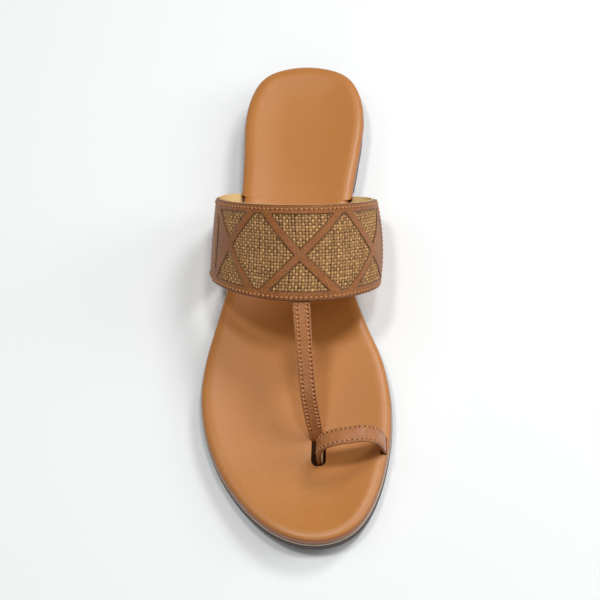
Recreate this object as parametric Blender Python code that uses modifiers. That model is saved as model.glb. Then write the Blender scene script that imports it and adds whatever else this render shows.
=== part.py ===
"""T-strap toe-loop sandal, a woman's right shoe of about EU 38.

A dark moulded outsole with a low heel carries a thin pale midsole and a padded footbed. The upper is
one piece: a wide instep band, a narrow T-strap from the band down to a post between the toes, and a
loop from that post over the big toe to the inner edge. Its ends stand on the midsole, in notches and
a slit of the footbed.

The toe points along -Y, the heel along +Y, the inner (medial) side is +X, and the shoe stands on z = 0.
Sizes below are in millimetres; meshes are written in metres.
"""
import math

import bmesh
import bpy
import numpy as np

MM = 0.001
MERGE = 0.01
SHARP_ANGLE = 40.0

# ---- driving dimensions, mm ----
SOLE_LENGTH = 249.0
HEEL_TIP_X = 0.0
TOE_TIP_X = 10.0
# Distance of the sole's edge from the long axis, on the outer (lateral) and the inner (medial) side
SOLE_ROWS = (
    # y,     lateral, medial
    (119.0,    19.6,   19.8),
    (108.0,    26.6,   26.8),
    (92.0,     29.5,   29.2),
    (72.0,     29.3,   27.2),
    (50.0,     29.4,   24.3),
    (26.0,     31.0,   23.4),
    (4.0,      33.8,   25.0),
    (-16.0,    38.2,   31.6),
    (-34.0,    42.0,   38.9),
    (-52.0,    43.6,   42.8),
    (-68.0,    41.6,   43.4),
    (-86.0,    35.5,   41.2),
    (-104.0,   24.2,   36.2),
    (-117.0,   11.0,   28.4),
)

OUTSOLE_THICKNESS = 4.8
MIDSOLE_THICKNESS = 1.2
FOOTBED_THICKNESS = 5.2
FOOTBED_DISH = 1.6
LAYER_GAP = 0.3
OUTSOLE_INSET = 0.3
FOOTBED_INSET = 0.35
FLAT_INSET = 7.0
OUTSOLE_LOWER_ROUNDING = 0.9
OUTSOLE_UPPER_ROUNDING = 0.4
MIDSOLE_ROUNDING = 0.28
FOOTBED_LOWER_ROUNDING = 0.45
# The footbed's padded rim, from its wall inwards: how far in, and how far below the rim's top
FOOTBED_RIM = (
    # in,  below
    (0.0,  2.60),
    (0.5,  1.40),
    (1.5,  0.45),
    (3.2,  0.00),
    (5.6,  0.40),
    (9.0,  1.20),
    (14.0, FOOTBED_DISH),
)
# How far the sole's middle line stays from its two tips
MIDDLE_END = 26.0

TOE_SPRING = 5.0
SPRING_START = -82.0
HEEL_RISE = 6.0
ARCH_START = -28.0
ARCH_END = 70.0
HEEL_BREAST = 60.0
HEEL_LEDGE = 0.2
HEEL_ROUNDING = 0.7
HEEL_OVERLAP = 2.2
HEEL_ZONE = 200.0

BAND_WALL = 2.6
STRAP_WALL = 2.2
BAND_PROUD = 0.6
# The two long edges of the band. Each is an arch that leans towards the toe: it stands on the sole's
# edge, swells to its widest on either side and closes over the instep at its apex.
BAND_APEXES = {
    #         x,     y,      z
    "rear":  (3.0,   15.7,   62.0),
    "front": (4.0,  -25.7,   49.5),
}
BAND_SIDES = {
    # side: edge to (y at the foot, widest x, height of the widest)
    -1: {"rear": (55.0, -38.4, 28.0), "front": (15.5, -40.0, 20.0)},
    1: {"rear": (52.8, 34.8, 27.0), "front": (9.5, 36.6, 23.0)},
}
# How far the band's middle stands out from a straight line between its edges
BAND_CROWN = {-1: 0.3, 0: 0.8, 1: 1.7}
# Handles of the arch's curves, as shares of their rise or width
FOOT_UPRIGHT = 0.3
SIDE_UPRIGHT = 0.55
ARCH_FULLNESS = 0.46
ARCH_SAMPLES = 120

# Middle line of each narrow strap: place, width, and turn of its outer face about the line, degrees
T_STRAP_ROWS = (
    # x,    y,      z,     width, turn
    (3.2,  -12.0,   52.3,  7.8,   0.0),
    (3.7,  -25.0,   48.5,  7.8,   0.0),
    (4.6,  -37.0,   43.5,  7.5,   0.0),
    (5.6,  -49.0,   36.6,  7.2,   2.0),
    (6.9,  -61.0,   28.0,  7.0,   8.0),
    (8.0,  -69.5,   20.8,  7.0,   28.0),
    (8.7,  -74.8,   15.8,  7.0,   62.0),
    (9.2,  -78.2,   12.0,  7.0,   88.0),
    (9.9,  -79.8,   9.3,   7.0,   90.0),
    (10.2, -80.0,   6.8,   7.0,   90.0),
)
TOE_LOOP_ROWS = (
    # x,    y,      z,     width
    (11.7, -82.2,   6.8,   7.6),
    (11.5, -82.2,   10.0,  7.6),
    (11.4, -82.4,   15.0,  7.8),
    (11.9, -82.3,   20.6,  7.8),
    (14.4, -82.0,   25.8,  7.8),
    (19.5, -81.4,   28.6,  7.8),
    (26.6, -80.4,   29.3,  7.8),
    (33.0, -79.3,   28.0,  7.8),
    (38.0, -78.4,   23.4,  7.8),
    (40.9, -77.9,   16.0,  7.6),
    (41.9, -77.8,   10.0,  7.4),
    (41.9, -77.8,   6.8,   7.4),
)

# Notches in the footbed's edge: side, from y, to y, depth
NOTCHES = {
    "footbed-notch-outer": (-1, 8.5, 56.2, 2.4),
    "footbed-notch-inner": (1, 4.0, 54.0, 2.4),
    "footbed-notch-loop": (1, -82.2, -73.4, 2.9),
}
SLIT_CENTRE = (10.9, -80.2)
SLIT_SIZE = (6.6, 13.2)
SLIT_CORNER = 2.2
SLIT_STEPS = 24

CUTTER_REACH = 8.0
CUTTER_TOP = 40.0

OUTLINE_STEPS = 88
NOTCH_STEPS = 8
BAND_STEPS = (60, 6)
STRAP_STEPS = (44, 2)

COLOURS = {
    #           red,   green, blue,  roughness
    "outsole": (0.045, 0.026, 0.021, 0.70),
    "midsole": (0.520, 0.430, 0.350, 0.65),
    "footbed": (0.530, 0.240, 0.090, 0.45),
    "upper":   (0.300, 0.115, 0.045, 0.50),
}


# ---- curves ----
def smooth(knots, values, at):
    """Values at given places of a smooth curve through knots, in cubic pieces that share their slopes."""
    knots = np.asarray(knots, float)
    values = np.asarray(values, float)
    slopes = np.gradient(values, knots, axis=0)
    at = np.asarray(at, float)
    piece = np.clip(np.searchsorted(knots, at) - 1, 0, len(knots) - 2)
    span = knots[piece + 1] - knots[piece]
    t = (at - knots[piece]) / span
    if values.ndim > 1:
        t = t[:, None]
        span = span[:, None]
    start = values[piece] * (2 * t**3 - 3 * t**2 + 1) + slopes[piece] * span * (t**3 - 2 * t**2 + t)
    end = values[piece + 1] * (3 * t**2 - 2 * t**3) + slopes[piece + 1] * span * (t**3 - t**2)
    return start + end


def ramp(start, end, at):
    """0 before start, 1 after end, with no corner at either."""
    t = np.clip((np.asarray(at, float) - start) / (end - start), 0.0, 1.0)
    return t * t * (3 - 2 * t)


def bezier(points, at):
    """Cubic Bezier curve through the first and last of four points."""
    p0, p1, p2, p3 = (np.asarray(point, float) for point in points)
    t = np.asarray(at, float)[:, None]
    return (1 - t)**3 * p0 + 3 * t * (1 - t)**2 * p1 + 3 * t**2 * (1 - t) * p2 + t**3 * p3


# ---- the sole's outline and side profile ----
def edge_curve(angles):
    """Points of the sole's edge: y = cos(angle) of the half length, heel at 0, inner side first."""
    half = SOLE_LENGTH / 2
    rows = [(math.acos(y / half), -lateral, medial) for y, lateral, medial in SOLE_ROWS]
    knots = [0.0] + [row[0] for row in rows] + [math.pi] + [2 * math.pi - row[0] for row in rows[::-1]]
    across = [HEEL_TIP_X] + [row[2] for row in rows] + [TOE_TIP_X] + [row[1] for row in rows[::-1]]
    turn = 2 * math.pi
    knots = [knots[-2] - turn, knots[-1] - turn] + knots + [turn, knots[1] + turn]
    across = across[-2:] + across + across[:2]
    return np.column_stack([smooth(knots, across, angles), half * np.cos(angles)])


def edge_at(y, side):
    """x of the sole's edge at y, on the inner side (+1) or the outer side (-1)."""
    angles = np.arccos(np.clip(np.atleast_1d(y) / (SOLE_LENGTH / 2), -1, 1))
    if side < 0:
        angles = 2 * math.pi - angles
    return edge_curve(angles)[:, 0]


def ground(y):
    """Underside of the bare sole: toe spring, flat forefoot, and the arch that rises to the heel."""
    spring = np.clip((SPRING_START - np.asarray(y, float)) / (SPRING_START + SOLE_LENGTH / 2), 0, None)
    return TOE_SPRING * spring**2 + HEEL_RISE * ramp(ARCH_START, ARCH_END, y)


def layer(height):
    """A surface that follows the sole's side profile at a given height over its underside."""
    return lambda y: ground(y) + height


def level(height):
    """A flat surface at a given height over the floor."""
    return lambda y: np.full(len(y), height)


# ---- meshes ----
def finish(name, mesh, collection):
    """Put a mesh in the scene as a named object with its own plain material."""
    red, green, blue, roughness = COLOURS[name.split("-")[0]]
    material = bpy.data.materials.get(name) or bpy.data.materials.new(name)
    material.use_nodes = True
    shader = material.node_tree.nodes["Principled BSDF"]
    shader.inputs["Base Color"].default_value = (red, green, blue, 1)
    shader.inputs["Roughness"].default_value = roughness
    shader.inputs["Metallic"].default_value = 0
    mesh.materials.append(material)
    mesh.shade_smooth()
    mesh.set_sharp_from_angle(angle=math.radians(SHARP_ANGLE))
    item = bpy.data.objects.new(name, mesh)
    collection.objects.link(item)
    return item


def solid(name, points, faces, collection):
    """An object from points in mm and faces; doubles are merged and the faces turned outwards."""
    mesh = bpy.data.meshes.new(name)
    mesh.from_pydata([tuple(point) for point in np.asarray(points) * MM], [], faces)
    work = bmesh.new()
    work.from_mesh(mesh)
    bmesh.ops.remove_doubles(work, verts=work.verts, dist=MERGE * MM)
    bmesh.ops.recalc_face_normals(work, faces=work.faces)
    work.to_mesh(mesh)
    work.free()
    return finish(name, mesh, collection)


def sole_body(name, rings, collection):
    """A closed body inside the sole's outline.

    rings run from the middle of the underside out, up the wall and back to the middle of the top, as
    (inset from the outline, surface). An inset of None is the middle line.
    """
    turn = np.linspace(0, 2 * math.pi, OUTLINE_STEPS, endpoint=False)
    edge = edge_curve(turn)
    along = np.roll(edge, -1, axis=0) - np.roll(edge, 1, axis=0)
    along /= np.linalg.norm(along, axis=1)[:, None]
    inward = np.column_stack([along[:, 1], -along[:, 0]])
    reach = SOLE_LENGTH / 2 - MIDDLE_END
    middle_y = np.clip(edge[:, 1], -reach, reach)
    middle = np.column_stack([(edge_at(middle_y, 1) + edge_at(middle_y, -1)) / 2, middle_y])
    points = []
    for inset, surface in rings:
        flat = middle if inset is None else edge + inset * inward
        points.append(np.column_stack([flat, surface(flat[:, 1])]))
    count = len(edge)
    faces = []
    for ring in range(len(rings) - 1):
        for step in range(count):
            a = ring * count + step
            b = ring * count + (step + 1) % count
            faces.append((a, b, b + count, a + count))
    return solid(name, np.vstack(points), faces, collection)


def prism(name, outline, collection):
    """An upright cutter through the footbed, from a closed outline seen from above."""
    count = len(outline)
    low = np.column_stack([outline, np.zeros(count)])
    high = low + (0, 0, CUTTER_TOP)
    faces = [tuple(range(count)), tuple(range(count, 2 * count))]
    faces += [(a, (a + 1) % count, (a + 1) % count + count, a + count) for a in range(count)]
    return solid(name, np.vstack([low, high]), faces, collection)


def strip(name, grid, wall, collection):
    """A strap: an open sheet of points, rows along it and columns across it, thickened both ways."""
    rows, columns = grid.shape[:2]
    faces = [(i * columns + j, i * columns + j + 1, (i + 1) * columns + j + 1, (i + 1) * columns + j)
             for i in range(rows - 1) for j in range(columns - 1)]
    item = solid(name, grid.reshape(-1, 3), faces, collection)
    shell = item.modifiers.new("wall", "SOLIDIFY")
    shell.thickness = wall * MM
    shell.offset = 0
    shell.use_even_offset = True
    return item


def combine(item, other, operation):
    """A Boolean on item. The other piece stays as a hidden guide."""
    step = item.modifiers.new(f"{operation.lower()} {other.name}", "BOOLEAN")
    step.operation = operation
    step.solver = "EXACT"
    step.object = other
    other.hide_render = True
    other.display_type = "WIRE"


# ---- the upper's sheets ----
def band_grid():
    """Points of the instep band's middle surface, from the outer foot over the instep to the inner."""
    steps, across = BAND_STEPS
    columns = []
    for share in np.linspace(0, 1, across + 1):
        swell = 4 * share * (1 - share)
        apex = between(BAND_APEXES, share) + (0, 0, BAND_CROWN[0] * swell)
        halves = {}
        for side in (-1, 1):
            foot_y, wide_x, wide_z = between(BAND_SIDES[side], share)
            wide_x += side * BAND_CROWN[side] * swell
            halves[side] = half_arch(side, foot_y, wide_x, wide_z, apex)
        arch = np.vstack([halves[-1], halves[1][-2::-1]])
        length = np.concatenate([[0], np.cumsum(np.linalg.norm(np.diff(arch, axis=0), axis=1))])
        places = np.linspace(0, length[-1], steps + 1)
        columns.append(np.column_stack([np.interp(places, length, arch[:, k]) for k in range(3)]))
    return np.stack(columns, axis=1)


def between(edges, share):
    """A row of values between those of the rear edge (share 0) and the front edge (share 1)."""
    rear, front = np.array(edges["rear"]), np.array(edges["front"])
    return rear + share * (front - rear)


def half_arch(side, foot_y, wide_x, wide_z, apex):
    """One side of the band's arch, from its foot on the midsole to the apex, leaning as it climbs."""
    foot_z = float(ground(foot_y)) + OUTSOLE_THICKNESS + MIDSOLE_THICKNESS + 3 * LAYER_GAP
    foot_x = edge_at(foot_y, side)[0] - side * (BAND_WALL / 2 - BAND_PROUD)
    rise = wide_z - foot_z
    places = np.linspace(0, 1, ARCH_SAMPLES)
    low = bezier([(foot_x, foot_z), (foot_x, foot_z + FOOT_UPRIGHT * rise),
                  (wide_x, wide_z - SIDE_UPRIGHT * rise), (wide_x, wide_z)], places)
    high = bezier([(wide_x, wide_z), (wide_x, wide_z + ARCH_FULLNESS * (apex[2] - wide_z)),
                   (apex[0] + (1 - ARCH_FULLNESS) * (wide_x - apex[0]), apex[2]),
                   (apex[0], apex[2])], places)
    x, z = np.vstack([low, high[1:]]).T
    lean = (apex[1] - foot_y) / (apex[2] - foot_z)
    return np.column_stack([x, foot_y + lean * (z - foot_z), z])


def strap_line(rows):
    """A narrow strap's smoothed rows, their forward directions, and the places across its width."""
    steps, across = STRAP_STEPS
    table = np.array(rows)
    length = np.concatenate([[0], np.cumsum(np.linalg.norm(np.diff(table[:, :3], axis=0), axis=1))])
    line = smooth(length, table, np.linspace(0, length[-1], steps + 1))
    forward = np.gradient(line[:, :3], axis=0)
    forward /= np.linalg.norm(forward, axis=1)[:, None]
    return line, forward, np.linspace(-0.5, 0.5, across + 1)


def square_to(forward, axis):
    """The unit directions nearest to an axis that stand square to each forward direction."""
    across = np.array(axis) - forward * (forward @ np.array(axis))[:, None]
    return across / np.linalg.norm(across, axis=1)[:, None]


def t_strap_grid():
    """The T-strap: it lies across the foot's axis at the band and turns to stand along it at the post."""
    line, forward, places = strap_line(T_STRAP_ROWS)
    level = square_to(forward, (1.0, 0.0, 0.0))
    face = np.cross(forward, level)
    turn = np.radians(line[:, 4])[:, None]
    width = level * np.cos(turn) - face * np.sin(turn)
    return line[:, None, :3] + places[None, :, None] * (line[:, 3:4] * width)[:, None, :]


def toe_loop_grid():
    """The toe loop: an arch across the foot's axis, its width along that axis."""
    line, forward, places = strap_line(TOE_LOOP_ROWS)
    width = square_to(forward, (0.0, 1.0, 0.0))
    return line[:, None, :3] + places[None, :, None] * (line[:, 3:4] * width)[:, None, :]


# ---- sub-parts ----
def make_outsole(parts, guides):
    """Moulded sole with toe spring and arch, and a low heel with an upright breast under it."""
    top = OUTSOLE_THICKNESS
    edge = OUTSOLE_INSET
    low_round = OUTSOLE_LOWER_ROUNDING
    high_round = OUTSOLE_UPPER_ROUNDING
    outsole = sole_body("outsole", [
        (None, layer(0)), (FLAT_INSET, layer(0)), (edge + low_round, layer(0)),
        (edge, layer(low_round)), (edge, layer(top - high_round)),
        (edge + high_round, layer(top)), (FLAT_INSET, layer(top)), (None, layer(top)),
    ], parts)
    edge = OUTSOLE_INSET + HEEL_LEDGE
    top = HEEL_RISE + HEEL_OVERLAP
    block = sole_body("outsole-heel", [
        (None, level(0)), (FLAT_INSET, level(0)), (edge + HEEL_ROUNDING, level(0)),
        (edge, level(HEEL_ROUNDING)), (edge, level(top)), (FLAT_INSET, level(top)), (None, level(top)),
    ], guides)
    bpy.ops.mesh.primitive_cube_add(size=1, location=(0, (HEEL_BREAST + HEEL_ZONE / 2) * MM, 0))
    zone = bpy.context.object
    zone.name = "outsole-heel-zone"
    zone.scale = (HEEL_ZONE * MM, HEEL_ZONE * MM, HEEL_ZONE * MM)
    move(zone, guides)
    combine(block, zone, "INTERSECT")
    combine(outsole, block, "UNION")


def move(item, collection):
    """Put an object in one collection only."""
    for old in item.users_collection:
        old.objects.unlink(item)
    collection.objects.link(item)


def make_midsole(parts):
    """Thin pale layer between outsole and footbed, its edge a little proud of both."""
    low = OUTSOLE_THICKNESS + LAYER_GAP
    top = low + MIDSOLE_THICKNESS
    rounding = MIDSOLE_ROUNDING
    sole_body("midsole", [
        (None, layer(low)), (FLAT_INSET, layer(low)), (rounding, layer(low)), (0, layer(low + rounding)),
        (0, layer(top - rounding)), (rounding, layer(top)), (FLAT_INSET, layer(top)), (None, layer(top)),
    ], parts)


def make_footbed(parts, guides):
    """Padded footbed: rounded rim, dished inside, notched for the band and the loop, slit at the post."""
    low = OUTSOLE_THICKNESS + MIDSOLE_THICKNESS + 2 * LAYER_GAP
    top = low + FOOTBED_THICKNESS
    edge = FOOTBED_INSET
    rounding = FOOTBED_LOWER_ROUNDING
    under = [(None, layer(low)), (FLAT_INSET, layer(low)), (edge + rounding, layer(low)),
             (edge, layer(low + rounding))]
    rim = [(edge + inwards, layer(top - below)) for inwards, below in FOOTBED_RIM]
    footbed = sole_body("footbed", under + rim + [(None, layer(top - FOOTBED_DISH))], parts)
    for name in NOTCHES:
        combine(footbed, prism(name, notch_outline(*NOTCHES[name]), guides), "DIFFERENCE")
    combine(footbed, prism("footbed-slit", slit_outline(), guides), "DIFFERENCE")


def notch_outline(side, start, end, depth):
    """A strip along the sole's edge between two places, from its depth inside to well outside."""
    places = np.linspace(start, end, NOTCH_STEPS + 1)
    inner = np.column_stack([edge_at(places, side) - side * depth, places])
    outer = np.column_stack([edge_at(places, side) + side * CUTTER_REACH, places])
    return np.vstack([inner, outer[::-1]])


def slit_outline():
    """The post's slit: a rectangle with rounded corners."""
    angles = (np.arange(SLIT_STEPS) + 0.5) * 2 * math.pi / SLIT_STEPS
    turn = np.column_stack([np.cos(angles), np.sin(angles)])
    straight = np.array(SLIT_SIZE) / 2 - SLIT_CORNER
    return np.array(SLIT_CENTRE) + np.sign(turn) * straight + SLIT_CORNER * turn


def make_upper(parts, guides):
    """Instep band, T-strap and toe loop, one solid."""
    upper = strip("upper", band_grid(), BAND_WALL, parts)
    for name, grid in (("upper-t-strap", t_strap_grid()), ("upper-toe-loop", toe_loop_grid())):
        combine(upper, strip(name, grid, STRAP_WALL, guides), "UNION")


def main():
    for item in list(bpy.data.objects):
        bpy.data.objects.remove(item)
    parts = bpy.data.collections.new("t_strap_sandal")
    guides = bpy.data.collections.new("cutters")
    for collection in (parts, guides):
        bpy.context.scene.collection.children.link(collection)
    make_outsole(parts, guides)
    make_midsole(parts)
    make_footbed(parts, guides)
    make_upper(parts, guides)


main()
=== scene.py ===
# %% [markdown]
# # A leather t-strap sandal with a toe loop
#
# The CAD parts are already the right size and in the right place: an outsole with a low heel, a thin
# midsole, a padded footbed, and an upper made of a wide instep band, a T-strap and a loop for the big
# toe. This notebook gives them their looks. Each step says what a piece is on the real sandal, how it
# could be made in Blender, and why this way was taken.
#
# The toe points along -Y, the heel along +Y, the inner side of the foot is +X, and the floor is z = 0.

# %% The frame
import math

import bmesh
import bpy
import numpy as np
from mathutils import Euler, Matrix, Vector


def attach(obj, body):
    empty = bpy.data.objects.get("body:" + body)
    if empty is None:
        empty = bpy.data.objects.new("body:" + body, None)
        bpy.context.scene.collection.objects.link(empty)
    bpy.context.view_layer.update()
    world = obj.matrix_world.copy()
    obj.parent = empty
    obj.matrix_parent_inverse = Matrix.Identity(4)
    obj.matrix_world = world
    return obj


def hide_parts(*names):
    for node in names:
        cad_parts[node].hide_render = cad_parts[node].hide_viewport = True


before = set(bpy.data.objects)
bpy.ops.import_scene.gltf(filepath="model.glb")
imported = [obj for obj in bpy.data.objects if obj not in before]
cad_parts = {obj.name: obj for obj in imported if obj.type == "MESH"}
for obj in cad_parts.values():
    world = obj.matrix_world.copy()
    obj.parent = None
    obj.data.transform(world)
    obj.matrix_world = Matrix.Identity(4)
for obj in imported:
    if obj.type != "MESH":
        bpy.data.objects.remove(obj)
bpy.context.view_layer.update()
MM = 0.001


print("CAD nodes:", ", ".join(sorted(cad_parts)))

# %% [markdown]
# ## Shader maths as Python
#
# A material is a net of nodes. Wiring a dozen Math nodes by hand hides what they work out, so one small
# class wraps a socket and lets Python expressions add the Math nodes. One method, which takes a node's
# type, settings and inputs, makes all the others.

# %% A socket that can be added and multiplied


class Value:
    """A number in a material. Python's operators on it add Math nodes."""

    def __init__(self, finish, socket):
        self.finish = finish
        self.socket = socket

    def math(self, operation, *inputs):
        """One Math node."""
        node = self.finish.node("Math", {"operation": operation}, dict(enumerate(inputs)))
        return Value(self.finish, node.outputs[0])

    def __add__(self, other):
        return self.math("ADD", self, other)

    def __sub__(self, other):
        return self.math("SUBTRACT", self, other)

    def __rsub__(self, other):
        return self.math("SUBTRACT", other, self)

    def __mul__(self, other):
        return self.math("MULTIPLY", self, other)

    def clipped(self):
        """Held between 0 and 1."""
        return self.math("MINIMUM", self.math("MAXIMUM", self, 0.0), 1.0)

    def step(self, low, high):
        """0 below low, 1 above high, smooth between."""
        node = self.finish.node("MapRange", {"interpolation_type": "SMOOTHSTEP"},
                                {"Value": self, "From Min": low, "From Max": high})
        return Value(self.finish, node.outputs[0])


# %% A material in the making


class Finish:
    """One material: a Principled shader, and the nodes that vary its colour, gloss and relief."""

    def __init__(self, name, constants):
        self.material = bpy.data.materials.new(name)
        self.material.use_nodes = True
        self.tree = self.material.node_tree
        self.shader = self.tree.nodes["Principled BSDF"]
        for socket, value in constants.items():
            self.shader.inputs[socket].default_value = value

    def node(self, kind, settings=(), inputs=()):
        """Any node: its type, its settings, then a value or a link for each named socket."""
        node = self.tree.nodes.new("ShaderNode" + kind)
        for key, value in dict(settings).items():
            setattr(node, key, value)
        for key, value in dict(inputs).items():
            value = getattr(value, "socket", value)
            if isinstance(value, bpy.types.NodeSocket):
                self.tree.links.new(value, node.inputs[key])
            else:
                node.inputs[key].default_value = value
        return node

    def place(self, output="Object", stretch=None):
        """Where on the piece: in metres in the shoe's frame, or along its own UV map."""
        coordinate = self.node("TexCoord").outputs[output]
        if stretch is None:
            return coordinate
        return self.node("VectorMath", {"operation": "MULTIPLY"}, {0: coordinate, 1: stretch}).outputs[0]

    def noise(self, size, place=None, detail=2.0, roughness=0.5):
        """Cloudy noise from 0 to 1 whose blotches are about size mm wide."""
        node = self.node("TexNoise", {}, {"Vector": place or self.place(), "Scale": 1 / (size * MM),
                                          "Detail": detail, "Roughness": roughness})
        return Value(self, node.outputs[0])

    def pebbles(self, size):
        """Leather grain: 0 in the creases between pebbles of about size mm, and 1 on top of them."""
        node = self.node("TexVoronoi", {"feature": "DISTANCE_TO_EDGE"},
                         {"Vector": self.place(), "Scale": 1 / (size * MM)})
        return Value(self, node.outputs["Distance"]).step(0.0, 0.22)

    def painted(self, name):
        """A number stored on the mesh."""
        return Value(self, self.node("Attribute", {"attribute_name": name}).outputs["Fac"])

    def mix(self, factor, *ends):
        """From the first colour to the second as the factor goes from 0 to 1."""
        first, second = (colour(*end) if isinstance(end, tuple) else end for end in ends)
        return self.node("Mix", {"data_type": "RGBA"}, {0: factor, 6: first, 7: second}).outputs[2]

    def feed(self, socket, value):
        """Link a value or a colour to one of the shader's sockets."""
        self.tree.links.new(getattr(value, "socket", value), self.shader.inputs[socket])

    def relief(self, height, depth):
        """Bump: a height from 0 to 1 that stands for depth mm."""
        bump = self.node("Bump", {}, {"Height": height, "Distance": depth * MM, "Strength": 1.0})
        self.feed("Normal", bump.outputs[0])


def colour(red, green, blue):
    """A colour given as it looks on a screen, 0 to 255, turned into the light that a shader needs."""
    share = np.array([red, green, blue]) / 255
    linear = np.where(share <= 0.04045, share / 12.92, ((share + 0.055) / 1.055) ** 2.4)
    return (*map(float, linear), 1.0)


# %% [markdown]
# ## From arrays to pieces
#
# Every new piece is a surface that numpy works out on a grid: rows along it, columns round it. The
# helpers below join the grid's neighbours with four-sided faces. A row of a hundred stitches is one grid
# with an extra first axis, so it stays one mesh and costs no loop.

# %% Grids to meshes
MERGE_WITHIN = 0.0005


def quads(rows, columns, around, copies=1):
    """Corner numbers of the faces between neighbours of a grid, once for each copy of it."""
    point = np.arange(copies * rows * columns).reshape(copies, rows, columns)
    if around:
        point = np.concatenate([point, point[..., :1]], axis=-1)
    return np.stack([point[:, :-1, :-1], point[:, :-1, 1:],
                     point[:, 1:, 1:], point[:, 1:, :-1]], axis=-1).reshape(-1, 4)


def tube(grid):
    """Points and faces of one closed tube, or of several: a grid of (copies,) rows, columns, and one
    more row at each end with all its points at the ring's middle."""
    first, last = (grid[..., k:k + 1 or None, :, :] for k in (0, -1))
    ends = [np.broadcast_to(ring.mean(axis=-2, keepdims=True), ring.shape) for ring in (first, last)]
    grid = np.concatenate([ends[0], grid, ends[1]], axis=-3)
    return grid, quads(*grid.shape[-3:-1], True, int(np.prod(grid.shape[:-3])))


def outward_mesh(name, points, faces, paint=(), flat=None):
    """A mesh from points in mm and faces, with numbers painted on its points and a flat UV map.

    Points that coincide are merged, and the faces of a closed mesh are turned outwards."""
    mesh = bpy.data.meshes.new(name)
    mesh.from_pydata(points.reshape(-1, 3) * MM, [], faces)
    for key, values in dict(paint).items():
        values = np.broadcast_to(values, points.shape[:-1]).astype(np.float32)
        mesh.attributes.new(key, "FLOAT", "POINT").data.foreach_set("value", values.ravel())
    if flat is not None:
        corner = np.zeros(len(mesh.loops), np.int32)
        mesh.loops.foreach_get("vertex_index", corner)
        layer = mesh.uv_layers.new(name="flat")
        layer.data.foreach_set("uv", (flat.reshape(-1, 2)[corner] * MM).ravel())
    work = bmesh.new()
    work.from_mesh(mesh)
    bmesh.ops.remove_doubles(work, verts=work.verts, dist=MERGE_WITHIN * MM)
    if work.calc_volume(signed=True) < 0:
        bmesh.ops.reverse_faces(work, faces=work.faces)
    work.to_mesh(mesh)
    work.free()
    return mesh


def link(name, data):
    """A new object in the scene."""
    item = bpy.data.objects.new(name, data)
    bpy.context.scene.collection.objects.link(item)
    return item


def piece(name, points, faces, finish, slot, paint=(), flat=None, replaces=()):
    """A smooth piece with a material, riding on the shoe's one body."""
    mesh = outward_mesh(name, points, faces, paint, flat)
    mesh.shade_smooth()
    mesh.materials.append(finish.material)
    item = link(name, mesh)
    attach(item, "root")
    if replaces:
        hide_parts(*replaces)
    print(f"{name}: {sum(len(face.vertices) - 2 for face in mesh.polygons)} triangles")
    return item


def shell(name, grid, finish, slot, **more):
    """A piece from rings whose first and last are drawn together, so that they need no caps."""
    return piece(name, grid, quads(*grid.shape[:2], True), finish, slot, **more)


def body(name, grid, finish, slot, paint=(), flat=None):
    """A piece from closed tubes. What is painted on their end rings goes on over the caps."""
    ends = [(0, 0)] * (grid.ndim - 3) + [(1, 1), (0, 0)]
    paint = {key: np.pad(np.broadcast_to(values, grid.shape[:-1]), ends, mode="edge")
             for key, values in dict(paint).items()}
    if flat is not None:
        flat = np.pad(flat, ends + [(0, 0)], mode="edge")
    return piece(name, *tube(grid), finish, slot, paint, flat)


# %% [markdown]
# ## Smooth curves
#
# The shoe's shapes come from short tables. A curve through a table's rows is made of cubic pieces that
# share their slopes, and a ramp goes from 0 to 1 with no corner. These are the CAD model's own formulas,
# so what is built here fits it.

# %% Curves


def smooth(knots, values, at):
    """Cubic pieces through the values at the knots, with the slope at each knot from its neighbours."""
    knots, values, at = (np.asarray(array, float) for array in (knots, values, at))
    slopes = np.gradient(values, knots, axis=0)
    low = np.clip(np.searchsorted(knots, at) - 1, 0, len(knots) - 2)
    span = knots[low + 1] - knots[low]
    t = (at - knots[low]) / span
    if values.ndim > 1:
        t = t[:, None]
        span = span[:, None]
    start = values[low] * (2 * t**3 - 3 * t**2 + 1) + slopes[low] * span * (t**3 - 2 * t**2 + t)
    end = values[low + 1] * (3 * t**2 - 2 * t**3) + slopes[low + 1] * span * (t**3 - t**2)
    return start + end


def ramp(start, end, at):
    """0 before start, 1 after end: 3t^2 - 2t^3 between."""
    t = np.clip((np.asarray(at, float) - start) / (end - start), 0.0, 1.0)
    return t * t * (3 - 2 * t)


def bezier(points, at):
    """Cubic Bezier curve: (1-t)^3 a + 3t(1-t)^2 b + 3t^2(1-t) c + t^3 d."""
    a, b, c, d = (np.asarray(point, float) for point in points)
    t = at[:, None]
    return (1 - t)**3 * a + 3 * t * (1 - t)**2 * b + 3 * t**2 * (1 - t) * c + t**3 * d


def bell(distance, width):
    """A soft hump: exp(-(distance / width)^2)."""
    return np.exp(-(distance / width)**2)


def unit(vectors):
    """The same directions with length 1."""
    return vectors / np.linalg.norm(vectors, axis=-1, keepdims=True)


def travelled(points):
    """How far along a line of points each of them lies."""
    return np.concatenate([[0], np.cumsum(np.linalg.norm(np.diff(points, axis=0), axis=1))])


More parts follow.
